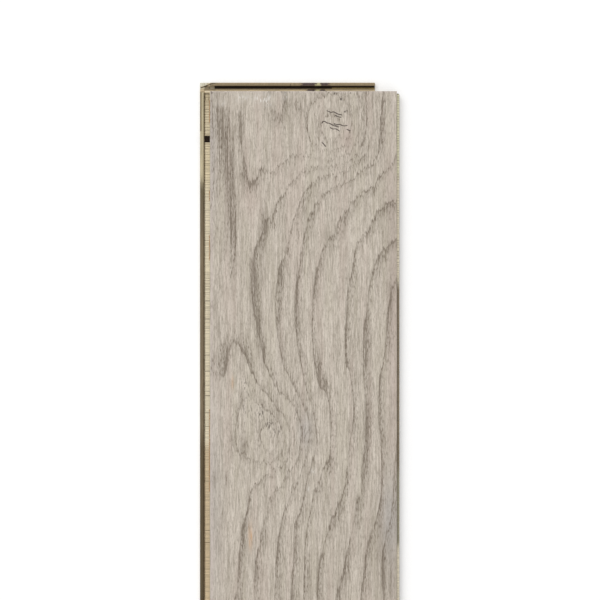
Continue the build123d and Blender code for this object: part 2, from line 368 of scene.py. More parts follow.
class RingField:
    """The growth rings of the face as one smooth height, whose whole numbers are the rings' dark edges.

    Near the lip end the height is a thin-plate spline through the ring lines. Beyond them it turns into
    the long arches of a flat-sawn face, cut beside a pith that wanders along the log.
    """

    along_share = 0.45
    unit_mm = 100.0
    slack = 0.004
    handover_mm = (505.0, 660.0)
    ring_width_mm = 18.5

    def __init__(self, lines: tuple[RingLine, ...]) -> None:
        """Solve the spline.

        Args:
            lines: The ring lines that it passes through.
        """
        places = [place for line in lines for place in line.places]
        orders = [line.order for line in lines for place in line.places]
        self.centres = self._stretched(np.array(places, float))
        count = len(places)
        plane = np.hstack([np.ones((count, 1)), self.centres])
        terms = plane.shape[1]
        system = np.zeros((count + terms, count + terms))
        system[:count, :count] = self._kernel(self.centres) + self.slack * np.eye(count)
        system[:count, count:] = plane
        system[count:, :count] = plane.T
        solved = np.linalg.solve(system, np.concatenate([orders, np.zeros(terms)]))
        self.weights, self.tilt = solved[:count], solved[count:]

    def _stretched(self, places: np.ndarray) -> np.ndarray:
        """Shrink places along the grain, because rings change slower along it than across."""
        return places * np.array([1.0, self.along_share]) / self.unit_mm

    def _kernel(self, places: np.ndarray) -> np.ndarray:
        """Thin-plate kernel between places and the spline's centres."""
        tiny = 1e-12
        squared = ((places[:, None, :] - self.centres[None, :, :]) ** 2).sum(2)
        return 0.5 * squared * np.log(squared + tiny)

    def _splined(self, places: np.ndarray) -> np.ndarray:
        """Height from the spline."""
        stretched = self._stretched(places)
        block = 8000
        parts = [
            self._kernel(stretched[start:start + block]) @ self.weights
            + self.tilt[0] + stretched[start:start + block] @ self.tilt[1:]
            for start in range(0, len(places), block)
        ]
        return np.concatenate(parts)

    def _arched(self, places: np.ndarray) -> np.ndarray:
        """Height from the distance to the pith, which wanders towards the board's middle and back."""
        start, way, way_limit = 560, 820, 1.3
        outside, travel, sway, sway_length = -28, 118, 5, 61
        least_depth, dive, roll, roll_length = 14, 96, 22, 150
        bluntness, first_order, long_ripple, short_ripple = 60, 1.55, 0.16, 0.12
        across, along = places[:, 0], places[:, 1]
        swing = 0.5 - 0.5 * np.cos(np.clip((along - start) / way, 0, way_limit) * math.pi)
        pith = outside + travel * swing + sway * np.sin(along / sway_length)
        depth = least_depth + dive * swing ** 2 + roll * np.sin((along - start) / roll_length)
        distance = np.sqrt((across - pith) ** 2 + depth ** 2 + bluntness)
        ripple = long_ripple * np.sin(along / 37 + across / 19)
        ripple += short_ripple * np.sin(along / 23 - across / 31)
        return distance / self.ring_width_mm - first_order + ripple

    def height(self, places: np.ndarray) -> np.ndarray:
        """Ring height at places on the face.

        Args:
            places: Rows of across and along in millimetres.

        Returns:
            One height for each row.
        """
        start, stop = self.handover_mm
        share = np.clip((places[:, 1] - start) / (stop - start), 0, 1)
        share = share * share * (3 - 2 * share)
        result = self._arched(places)
        near = share < 1
        result[near] = (1 - share[near]) * self._splined(places[near]) + share[near] * result[near]
        return result

    def pitch_and_slope(self, places: np.ndarray, height: np.ndarray) -> tuple[np.ndarray, np.ndarray]:
        """Find how closely the rings lie, and how fast the height changes along the grain.

        Args:
            places: Rows of across and along in millimetres.
            height: The ring height there.

        Returns:
            Millimetres from one ring edge to the next, kept between limits where the rings turn, and the
            rise in height for each millimetre away from the lip end.
        """
        step, least, most = 0.5, 5.0, 45.0
        across = (self.height(places + np.array([step, 0.0])) - height) / step
        along = (self.height(places + np.array([0.0, step])) - height) / step
        pitch = 1 / np.clip(np.hypot(across, along), 1 / most, 1 / least)
        return pitch, np.clip(along, -1 / least, 1 / least)


def spot_sum(places: np.ndarray, spots: tuple[Spot, ...]) -> np.ndarray:
    """Add up soft oval spots.

    Args:
        places: Rows of across and along in millimetres.
        spots: The spots.

    Returns:
        The sum at each row.
    """
    total = np.zeros(len(places))
    for spot in spots:
        across = (places[:, 0] - spot.across) / spot.half_width
        along = (places[:, 1] - spot.along) / spot.half_length
        total += spot.strength * np.exp(-(across ** 2 + along ** 2))
    return total


def crack_offset(places: np.ndarray, cracks: tuple[tuple[Place, ...], ...]) -> np.ndarray:
    """Distance to the nearest crack, negative on the side of the lip end.

    The sign lets the surface find a crack between the mesh's points, which lie further apart than it is wide.

    Args:
        places: Rows of across and along in millimetres.
        cracks: Each crack's corners, from left to right.

    Returns:
        One distance for each row, in millimetres.
    """
    far_off = 1000.0
    nearest = np.full(len(places), far_off)
    for start, stop in (pair for crack in cracks for pair in zip(crack[:-1], crack[1:])):
        first, run = np.array(start, float), np.array(stop, float) - np.array(start, float)
        away = places - first
        share = np.clip(away @ run / (run @ run), 0, 1)
        gap = away - share[:, None] * run
        distance = np.linalg.norm(gap, axis=1)
        side = np.where(gap[:, 1] < 0, -1, 1)
        nearest = np.where(distance < np.abs(nearest), side * distance, nearest)
    return nearest


class Signal:
    """One number in a node tree. Plain arithmetic on it adds the nodes that work out the result."""

    def __init__(self, canvas: "NodeCanvas", socket: bpy.types.NodeSocket) -> None:
        """Wrap a socket.

        Args:
            canvas: The canvas of the node tree.
            socket: The output that the number comes from.
        """
        self.canvas = canvas
        self.socket = socket

    def _worked(self, operation: str, first: object, second: object = 0.0, clamp: bool = False) -> "Signal":
        """Work out one number from one or two others.

        Args:
            operation: Blender's name for the operation.
            first: A signal or a number.
            second: A signal or a number.
            clamp: Whether to keep the result between 0 and 1.

        Returns:
            The result.
        """
        node = self.canvas.nodes.new("ShaderNodeMath")
        node.operation = operation
        node.use_clamp = clamp
        self.canvas.feed(node.inputs[0], first)
        self.canvas.feed(node.inputs[1], second)
        return Signal(self.canvas, node.outputs[0])

    def __add__(self, other: object) -> "Signal":
        """Add a signal or a number."""
        return self._worked("ADD", self, other)

    def __radd__(self, other: float) -> "Signal":
        """Be added to a number."""
        return self._worked("ADD", other, self)

    def __sub__(self, other: object) -> "Signal":
        """Take a signal or a number away."""
        return self._worked("SUBTRACT", self, other)

    def __rsub__(self, other: float) -> "Signal":
        """Be taken away from a number."""
        return self._worked("SUBTRACT", other, self)

    def __mul__(self, other: object) -> "Signal":
        """Multiply by a signal or a number."""
        return self._worked("MULTIPLY", self, other)

    def __truediv__(self, other: object) -> "Signal":
        """Divide by a signal or a number."""
        return self._worked("DIVIDE", self, other)

    def __abs__(self) -> "Signal":
        """Drop the sign."""
        return self._worked("ABSOLUTE", self)

    def fraction(self) -> "Signal":
        """Keep only what is past the whole number."""
        return self._worked("FRACT", self)

    def at_least(self, other: object) -> "Signal":
        """Take the larger of this and another."""
        return self._worked("MAXIMUM", self, other)

    def at_most(self, other: object) -> "Signal":
        """Take the smaller of this and another."""
        return self._worked("MINIMUM", self, other)

    def clamped(self) -> "Signal":
        """Stay between 0 and 1."""
        return self._worked("ADD", self, 0.0, clamp=True)

    def step(self, low: float, high: float) -> "Signal":
        """Rise smoothly from 0 to 1 as this goes from low to high, or fall where low is the higher.

        Args:
            low: Where the result is 0.
            high: Where the result is 1.

        Returns:
            The result.
        """
        node = self.canvas.nodes.new("ShaderNodeMapRange")
        node.interpolation_type = "SMOOTHSTEP"
        self.canvas.feed(node.inputs["Value"], self)
        node.inputs["From Min"].default_value = min(low, high)
        node.inputs["From Max"].default_value = max(low, high)
        node.inputs["To Min"].default_value = float(low > high)
        node.inputs["To Max"].default_value = float(low < high)
        return Signal(self.canvas, node.outputs["Result"])

    def within(self, low: float, high: float, soft: float) -> "Signal":
        """Be 1 between two limits and 0 outside them, with soft edges.

        Args:
            low: The lower limit.
            high: The upper limit.
            soft: How wide each edge is, to either side of its limit.

        Returns:
            The result.
        """
        return self.step(low - soft, low + soft) * self.step(high + soft, high - soft)


class NodeCanvas:
    """A node tree, with one short call for each kind of node."""

    def __init__(self, tree: bpy.types.NodeTree) -> None:
        """Start with an empty tree.

        Args:
            tree: The tree, which loses the nodes it has.
        """
        self.nodes = tree.nodes
        self.links = tree.links
        self.nodes.clear()

    def feed(self, socket: bpy.types.NodeSocket, value: object) -> None:
        """Link something into an input, or set the input to a number or a colour.

        Args:
            socket: The input.
            value: A signal, another node's output, a number or a colour.
        """
        if isinstance(value, Signal):
            self.links.new(value.socket, socket)
        elif isinstance(value, bpy.types.NodeSocket):
            self.links.new(value, socket)
        elif socket.type == "RGBA":
            socket.default_value = (*value, 1.0)
        else:
            socket.default_value = value

    def point(self) -> bpy.types.NodeSocket:
        """Read the surface point in object coordinates, in metres."""
        return self.nodes.new("ShaderNodeTexCoord").outputs["Object"]

    def component(self, vector: bpy.types.NodeSocket, letter: str) -> Signal:
        """Read one component of a vector."""
        node = self.nodes.new("ShaderNodeSeparateXYZ")
        self.feed(node.inputs[0], vector)
        return Signal(self, node.outputs[letter])

    def axis(self, letter: str) -> Signal:
        """Read one coordinate of the surface point, in metres."""
        return self.component(self.point(), letter)

    def facing(self, letter: str) -> Signal:
        """Read one component of the surface's own normal."""
        geometry = self.nodes.new("ShaderNodeNewGeometry")
        return self.component(geometry.outputs["True Normal"], letter)

    def attribute(self, name: str) -> Signal:
        """Read one of the mesh's own point attributes."""
        node = self.nodes.new("ShaderNodeAttribute")
        node.attribute_name = name
        return Signal(self, node.outputs["Fac"])

    def noise(self, size_mm: tuple[float, float, float], seed: float, detail: float = 2.0,
              roughness: float = 0.5) -> Signal:
        """Seeded noise with its own grain size along each axis.

        Args:
            size_mm: The grain's size along X, Y and Z in millimetres.
            seed: Where in the noise it is read, in grains.
            detail: How many finer octaves it has.
            roughness: How strong the finer octaves are.

        Returns:
            A number from 0 to 1, mostly near a half.
        """
        shift = (1.0, 1.7, 0.6)
        mapping = self.nodes.new("ShaderNodeMapping")
        mapping.inputs["Scale"].default_value = tuple(1 / (size * MM) for size in size_mm)
        mapping.inputs["Location"].default_value = tuple(seed * share for share in shift)
        self.feed(mapping.inputs["Vector"], self.point())
        node = self.nodes.new("ShaderNodeTexNoise")
        node.inputs["Scale"].default_value = 1.0
        node.inputs["Detail"].default_value = detail
        node.inputs["Roughness"].default_value = roughness
        self.feed(node.inputs["Vector"], mapping.outputs["Vector"])
        return Signal(self, node.outputs["Fac"])

    def blend(self, share: object, first: object, second: object, mode: str = "MIX") -> bpy.types.NodeSocket:
        """Mix two colours.

        Args:
            share: How much of the second there is.
            first: A node's output or a colour.
            second: A node's output or a colour.
            mode: Blender's name for the way of mixing.

        Returns:
            The mixed colour's output.
        """
        node = self.nodes.new("ShaderNodeMix")
        node.data_type = "RGBA"
        node.blend_type = mode
        node.clamp_factor = True
        colour_a, colour_b, colour_out = 6, 7, 2
        self.feed(node.inputs[0], share)
        self.feed(node.inputs[colour_a], first)
        self.feed(node.inputs[colour_b], second)
        return node.outputs[colour_out]

    def grey(self, value: Signal) -> bpy.types.NodeSocket:
        """Make a grey of a number."""
        node = self.nodes.new("ShaderNodeCombineColor")
        for name in ("Red", "Green", "Blue"):
            self.feed(node.inputs[name], value)
        return node.outputs["Color"]

    def ramp(self, value: Signal, stops: tuple[tuple[float, Colour], ...]) -> bpy.types.NodeSocket:
        """Turn a number from 0 to 1 into a colour.

        Args:
            value: The number.
            stops: Each stop's place from 0 to 1 and its colour.

        Returns:
            The colour's output.
        """
        node = self.nodes.new("ShaderNodeValToRGB")
        elements = node.color_ramp.elements
        while len(elements) < len(stops):
            elements.new(0.5)
        for element, (place, colour) in zip(elements, stops):
            element.position = place
            element.color = (*colour, 1.0)
        self.feed(node.inputs["Fac"], value)
        return node.outputs["Color"]

    def finish(self, colour: object, roughness: object, height: Signal, relief_mm: float,
               specular: float) -> None:
        """Close a material's tree with a shader.

        Args:
            colour: The surface colour.
            roughness: The surface roughness.
            height: The bump's height from 0 to 1.
            relief_mm: How high the bump is where the height is 1.
            specular: The shader's specular level.
        """
        bump = self.nodes.new("ShaderNodeBump")
        bump.inputs["Strength"].default_value = 1.0
        bump.inputs["Distance"].default_value = relief_mm * MM
        self.feed(bump.inputs["Height"], height)
        shader = self.nodes.new("ShaderNodeBsdfPrincipled")
        self.feed(shader.inputs["Base Color"], colour)
        self.feed(shader.inputs["Roughness"], roughness)
        self.feed(shader.inputs["Normal"], bump.outputs["Normal"])
        shader.inputs["Specular IOR Level"].default_value = specular
        output = self.nodes.new("ShaderNodeOutputMaterial")
        self.feed(output.inputs["Surface"], shader.outputs["BSDF"])


def new_material(name: str) -> bpy.types.Material:
    """Make a material that uses nodes."""
    material = bpy.data.materials.new(name)
    material.use_nodes = True
    return material


@dataclass(frozen=True)
class Shares:
    """How strong a darkening of the oak is: everywhere, and how much more in each kind of fibre.

    Attributes:
        base: Its strength everywhere.
        dash: More in short pores.
        long_dash: More in long fibres.
        grit: More in fine grit.
        heavy: More in the stretches of heavy figure.
        stripe: More in hairline stripes.
    """

    base: float
    dash: float = 0.0
    long_dash: float = 0.0
    grit: float = 0.0
    heavy: float = 0.0
    stripe: float = 0.0


class OakFibres:
    """The noises that break up the oak's figure."""

    def __init__(self, canvas: NodeCanvas) -> None:
        """Build the noises.

        Args:
            canvas: The material's canvas.
        """
        self.fibre = canvas.noise((0.85, 15, 0.85), seed=3, roughness=0.6)
        self.ribbon = canvas.noise((3.2, 90, 3.2), seed=61)
        self.tint = canvas.noise((9, 130, 9), seed=53)
        self.pores = canvas.noise((0.85, 4.6, 0.85), seed=23, roughness=0.6)
        self.grit = canvas.noise((0.9, 1.8, 0.9), seed=29, detail=1)
        self.dash = self.pores.step(0.43, 0.62)
        self.long_dash = canvas.noise((1.2, 26, 1.2), seed=13).step(0.40, 0.60)
        self.heavy = canvas.noise((12, 75, 12), seed=71, detail=1).step(0.34, 0.66)
        self.stripe = canvas.noise((1.25, 110, 1.25), seed=83, detail=1).step(0.44, 0.58)

    def weighed(self, shares: Shares) -> Signal:
        """Add up a darkening's shares.

        Args:
            shares: How strong it is everywhere and in each kind of fibre.

        Returns:
            Its strength.
        """
        total = self.dash * shares.dash + shares.base
        kinds = (
            (self.long_dash, shares.long_dash),
            (self.grit, shares.grit),
            (self.heavy, shares.heavy),
            (self.stripe, shares.stripe),
        )
        for kind, share in kinds:
            if share:
                total = total + kind * share
        return total


@dataclass(frozen=True)
class BrushedOakFinish:
    """Pale limed oak, brushed and matt, with its figure read from the mesh's own attributes.

    Attributes:
        pale: Its palest fibres.
        middle: Its other fibres.
        ring: The darkest that rings, streaks and pores get.
        chalk: Lime that fills pores.
        cool: A greyer tint.
        warm: An amber tint.
        rosy: A pinker tint.
        olive: A greener tint.
        dusk: A browner tint.
        crack: Cracks, pits and black flecks.
        edge: Painted highlight along the bevels.
        line_mm: How wide the dark line at a ring's edge is.
        early_mm: How far the early wood's pores reach beyond it.
        line: How dark the line is.
        early: How dark the early wood is.
        band: How dark the bands along the grain are.
        streak: How dark the streaks along the grain are.
        darkest: Where all darkenings together stop.
    """

    pale: Colour = srgb(218, 208, 195)
    middle: Colour = srgb(165, 155, 141)
    ring: Colour = srgb(110, 98, 84)
    chalk: Colour = srgb(226, 221, 213)
    cool: Colour = srgb(176, 171, 167)
    warm: Colour = srgb(196, 154, 112)
    rosy: Colour = srgb(196, 179, 168)
    olive: Colour = srgb(188, 180, 161)
    dusk: Colour = srgb(146, 134, 118)
    crack: Colour = srgb(64, 55, 50)
    # Painted highlight along the bevels
    edge: Colour = srgb(206, 193, 187)
    line_mm: float = 1.9
    early_mm: float = 10.0
    line: Shares = Shares(0.38, dash=0.14, long_dash=0.16, heavy=0.10)
    early: Shares = Shares(0.03, dash=0.42, long_dash=0.20, grit=0.10)
    band: Shares = Shares(0.04, dash=0.08, long_dash=0.08, stripe=0.30)
    streak: Shares = Shares(0.24, dash=0.10, long_dash=0.26)
    darkest: Shares = Shares(0.62, dash=0.16, stripe=0.10)

    def material(self, plan: BoardPlan) -> bpy.types.Material:
        """Build the material.

        Args:
            plan: Where the board's planes are.

        Returns:
            The oak face's material.
        """
        material = new_material("brushed_limed_oak")
        canvas = NodeCanvas(material.node_tree)
        fibres = OakFibres(canvas)
        dark = self._darkness(canvas, fibres)
        lime = canvas.attribute("chalk") * fibres.pores.step(0.48, 0.56)
        body = self._wood(canvas, fibres, plan)
        body = canvas.blend(dark, body, self.ring)
        body = canvas.blend(lime, body, self.chalk)
        body = canvas.blend(self._openings(canvas, fibres), body, self.crack)
        depth = (0.8 + fibres.fibre * 0.2) - (dark * 0.5 + fibres.dash * 0.2)
        roughness = 0.62 + dark * 0.18
        canvas.finish(body, roughness, depth, relief_mm=0.12, specular=0.25)
        return material

    def _wood(self, canvas: NodeCanvas, fibres: OakFibres, plan: BoardPlan) -> bpy.types.NodeSocket:
        """The oak's colour under its figure: its fibres, its tints and the painted highlight along its
        bevels.

        Args:
            canvas: The material's canvas.
            fibres: The noises of the oak.
            plan: Where the board's planes are.

        Returns:
            The colour's output.
        """
        light = fibres.fibre.step(0.34, 0.66) * 0.62 + fibres.ribbon.step(0.38, 0.62) * 0.24
        light = light + fibres.grit.step(0.35, 0.65) * 0.14
        body = canvas.blend(light, self.middle, self.pale)
        tints = (
            (canvas.attribute("rosy") * 0.70, self.rosy),
            (fibres.tint.step(0.52, 0.66) * 0.28, self.rosy),
            (fibres.tint.step(0.48, 0.34) * 0.28, self.olive),
            # Painted highlight along the bevels of both sides and the lip end
            (self._painted_bevel_highlight(canvas, plan), self.edge),
            (canvas.attribute("dusk") * 0.32, self.dusk),
            (canvas.attribute("cool") * 0.75, self.cool),
            (canvas.attribute("warm") * (0.4 + fibres.long_dash), self.warm),
        )
        for share, tint in tints:
            body = canvas.blend(share, body, tint)
        return body

    def _darkness(self, canvas: NodeCanvas, fibres: OakFibres) -> Signal:
        """How dark the figure is: ring edges, the early wood beyond them, knots, bands, streaks and pores.

        Args:
            canvas: The material's canvas.
            fibres: The noises of the oak.

        Returns:
            The darkness from 0 to 1.
        """
        height, pitch = self._frayed_rings(canvas)
        strength = canvas.attribute("ring_strength")
        shown = (0.64 + strength * 0.45).at_least(0.08)
        past = height.fraction() * pitch
        before = pitch - past
        past = past / (0.65 + fibres.heavy * 0.45 + strength.at_least(0.0) * 0.6)
        line = (past.step(self.line_mm, 0.2) + before.step(0.8, 0.0)).clamped()
        early = past.step(self.early_mm, 0.8) * shown * (0.70 + fibres.heavy * 0.45)
        knot_rings = (height * 3.0).fraction().step(0.3, 0.0) * canvas.attribute("knot")
        dark = (
            line * shown * fibres.weighed(self.line)
            + early * fibres.weighed(self.early)
            + knot_rings * (0.3 + fibres.dash) * 0.24
            + canvas.attribute("band") * fibres.weighed(self.band)
            + canvas.attribute("streak") * fibres.weighed(self.streak)
            + fibres.pores.step(0.50, 0.68) * 0.32
        )
        return dark.at_most(fibres.weighed(self.darkest))

    def _frayed_rings(self, canvas: NodeCanvas) -> tuple[Signal, Signal]:
        """Fray the ring height along the grain, so that an edge that crosses the grain ends in long teeth.

        Args:
            canvas: The material's canvas.

        Returns:
            The frayed height, and the millimetres from one ring edge to the next.
        """
        teeth = canvas.noise((2.1, 24, 2.1), seed=31) - 0.5
        fray = canvas.noise((0.9, 8, 0.9), seed=11) - 0.5
        drift = canvas.noise((8, 60, 8), seed=5, detail=1) - 0.5
        along_mm = teeth * 15.0 + fray * 6.0
        across_mm = drift * 5.0 + teeth * 2.0
        pitch = canvas.attribute("ring_pitch")
        frayed = canvas.attribute("ring_slope") * along_mm + across_mm / pitch
        return canvas.attribute("ring_height") + frayed, pitch

    def _painted_bevel_highlight(self, canvas: NodeCanvas, plan: BoardPlan) -> Signal:
        """Painted highlight along the bevels of both sides and the lip end.

        Args:
            canvas: The material's canvas.
            plan: Where the board's planes are.

        Returns:
            How strong the painted highlight is, from 0 to 1.
        """
        across_mm = (canvas.axis("X") - plan.left) / MM
        along_mm = (plan.end - canvas.axis("Y")) / MM
        left = across_mm.within(0.7, 2.7, 0.4)
        right = across_mm.within(184.0, 186.8, 0.6)
        end = along_mm.within(0.2, 1.8, 0.5)
        return (left * 0.55 + right * 0.25 + end * 0.35).clamped()

    def _openings(self, canvas: NodeCanvas, fibres: OakFibres) -> Signal:
        """Cracks in the knots, pits and black flecks.

        Args:
            canvas: The material's canvas.
            fibres: The noises of the oak.

        Returns:
            How far the wood is open, from 0 to 1.
        """
        beside_mm = abs(canvas.attribute("crack_offset")) + fibres.grit * 0.7
        cracks = beside_mm.step(1.08, 0.60) * canvas.attribute("crack").step(0.45, 0.75)
        pits = (canvas.attribute("pit") + fibres.grit * 0.6).step(0.75, 1.15)
        flecks = canvas.attribute("fleck") * fibres.pores.step(0.52, 0.61)
        return (cracks * 0.9 + (pits + flecks).clamped() * 0.75).clamped()


@dataclass(frozen=True)
class Station:
    """The colour of a veneer at one place along a milled edge."""

    place_mm: float
    colour: Colour


@dataclass(frozen=True)
class Mark:
    """A stain, burn, dust line, painted shade or painted light, with soft edges, on bare veneer.

    Attributes:
        across: X where it starts and ends.
        along: Distance from the lip end's joint plane where it starts and ends, negative on the end lip.
        colour: Its colour.
        strength: How much of the veneer it covers.
        soft: How wide its edges are.
        ragged: How much the veneer's fibres break it up.
        lean: How far across it moves for each millimetre along, where it runs at a slant.
    """

    across: tuple[float, float]
    along: tuple[float, float]
    colour: Colour
    strength: float = 1.0
    soft: float = 0.25
    ragged: float = 0.4
    lean: float = 0.0


@dataclass(frozen=True)
class VeneerFinish:
    """Bare core veneer, in set colours along the milled edges and across the lip end, painted light among
    them.

    Attributes:
        name: The material's name.
        grain: Which way its fibres run.
        pale: Its paler fibres where no station says more.
        deep: Its darker fibres there.
        side: Colours along the long sides, from the lip end.
        end: Colours across the lip end, from left to right.
        marks: Stains, painted shade and painted light on it, in the order they lie on each other.
        ladder_mm: Spacing of the checks across its edge, or 0 for none.
        glue: The glue lines at its top and bottom.
        check: The checks.
        fade_mm: How far its own fibres take to return beyond the last station of the long sides.
        wander_mm: How far the colours across the lip end stray to either side, twice over.
    """

    name: str
    grain: Grain
    pale: Colour
    deep: Colour
    side: tuple[Station, ...] = ()
    end: tuple[Station, ...] = ()
    marks: tuple[Mark, ...] = ()
    ladder_mm: float = 0.0
    glue: Colour = srgb(86, 66, 46)
    check: Colour = srgb(104, 88, 64)
    fade_mm: float = 40.0
    wander_mm: float = 9.0

    def material(self, plan: BoardPlan, node: str) -> bpy.types.Material:
        """Build the material for one layer.

        Args:
            plan: Where the board's planes are.
            node: The layer's node, whose height sets where its glue lines are.

        Returns:
            The layer's material.
        """
        material = new_material(self.name)
        canvas = NodeCanvas(material.node_tree)
        across_mm = canvas.axis("X") / MM
        along_mm = (plan.end - canvas.axis("Y")) / MM
        fine, broad = self._fibres(canvas)

        body = canvas.blend(broad.step(0.4, 0.6), self.deep, self.pale)
        if self.side:
            last_mm = self.side[-1].place_mm
            shown = along_mm.step(last_mm + self.fade_mm, last_mm)
            body = canvas.blend(shown, body, self._banded(canvas, along_mm, self.side))
        if self.end:
            on_lip = along_mm.step(0.4, -0.4)
            wander = (canvas.noise((5, 1.4, 5), seed=43) - 0.5) * self.wander_mm
            body = canvas.blend(on_lip, body, self._banded(canvas, across_mm + wander, self.end))
        shade = 0.76 + fine.step(0.25, 0.75) * 0.40
        body = canvas.blend(1.0, body, canvas.grey(shade), mode="MULTIPLY")
        height = fine
        if self.ladder_mm:
            rungs = self._rungs(canvas, along_mm)
            body = canvas.blend(rungs, body, self.check)
            height = fine - rungs * 0.6
        for mark in self.marks:
            body = self._marked(canvas, body, mark, fine, across_mm, along_mm)
        body = canvas.blend(self._glue_lines(canvas, node), body, self.glue)
        canvas.finish(body, 0.78, height, relief_mm=0.1, specular=0.2)
        return material

    def _fibres(self, canvas: NodeCanvas) -> tuple[Signal, Signal]:
        """Fine and broad noise, stretched along the fibres."""
        if self.grain is Grain.ALONG:
            fine_mm, broad_mm = (0.7, 16, 0.7), (3.5, 120, 3.5)
        else:
            fine_mm, broad_mm = (16, 0.8, 0.7), (60, 38, 3.5)
        return canvas.noise(fine_mm, seed=7, detail=3), canvas.noise(broad_mm, seed=17)

    def _banded(self, canvas: NodeCanvas, position_mm: Signal,
                stations: tuple[Station, ...]) -> bpy.types.NodeSocket:
        """Colour that changes with a position, through the stations' colours."""
        first, last = stations[0].place_mm, stations[-1].place_mm
        share = ((position_mm - first) / (last - first)).clamped()
        stops = tuple(((station.place_mm - first) / (last - first), station.colour) for station in stations)
        return canvas.ramp(share, stops)

    def _rungs(self, canvas: NodeCanvas, along_mm: Signal) -> Signal:
        """Thin uneven lines at each check, one ladder spacing apart on average, heavier in some stretches."""
        node = canvas.nodes.new("ShaderNodeTexVoronoi")
        node.voronoi_dimensions = "1D"
        node.feature = "DISTANCE_TO_EDGE"
        node.inputs["Scale"].default_value = 1 / self.ladder_mm
        canvas.feed(node.inputs["W"], along_mm)
        lines = Signal(canvas, node.outputs["Distance"]).step(0.20, 0.06)
        stretch = canvas.noise((400, 14, 400), seed=37, detail=1).step(0.44, 0.66)
        near_end = along_mm.step(150.0, 60.0)
        sparser = 0.35 + along_mm.step(260.0, 150.0) * 0.65
        return lines * sparser * (0.12 + stretch * 0.42 + near_end * 0.22)

    def _marked(self, canvas: NodeCanvas, body: bpy.types.NodeSocket, mark: Mark, fine: Signal,
                across_mm: Signal, along_mm: Signal) -> bpy.types.NodeSocket:
        """Lay one mark on the veneer's upper and upright faces.

        Args:
            canvas: The material's canvas.
            body: The colour so far.
            mark: The mark.
            fine: The fibres' noise.
            across_mm: X in millimetres.
            along_mm: Distance from the lip end's joint plane in millimetres.

        Returns:
            The colour with the mark.
        """
        if mark.lean:
            across_mm = across_mm - (along_mm - sum(mark.along) / 2) * mark.lean
        inside = across_mm.within(*mark.across, mark.soft) * along_mm.within(*mark.along, mark.soft)
        cover = inside * canvas.facing("Z").step(-0.5, -0.2)
        broken = 1.0 - fine.step(0.62, 0.42) * mark.ragged
        return canvas.blend(cover * broken * mark.strength, body, mark.colour)

    def _glue_lines(self, canvas: NodeCanvas, node: str) -> Signal:
        """Show a thin dark line at the layer's top and bottom, on its upright edges only."""
        low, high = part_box(node)
        line = 0.14 * MM
        z = canvas.axis("Z")
        near = (z.step(high.z - line, high.z) + z.step(low.z + line, low.z)).clamped()
        upright = abs(canvas.facing("Z")).step(0.5, 0.2)
        return near * upright * 0.8


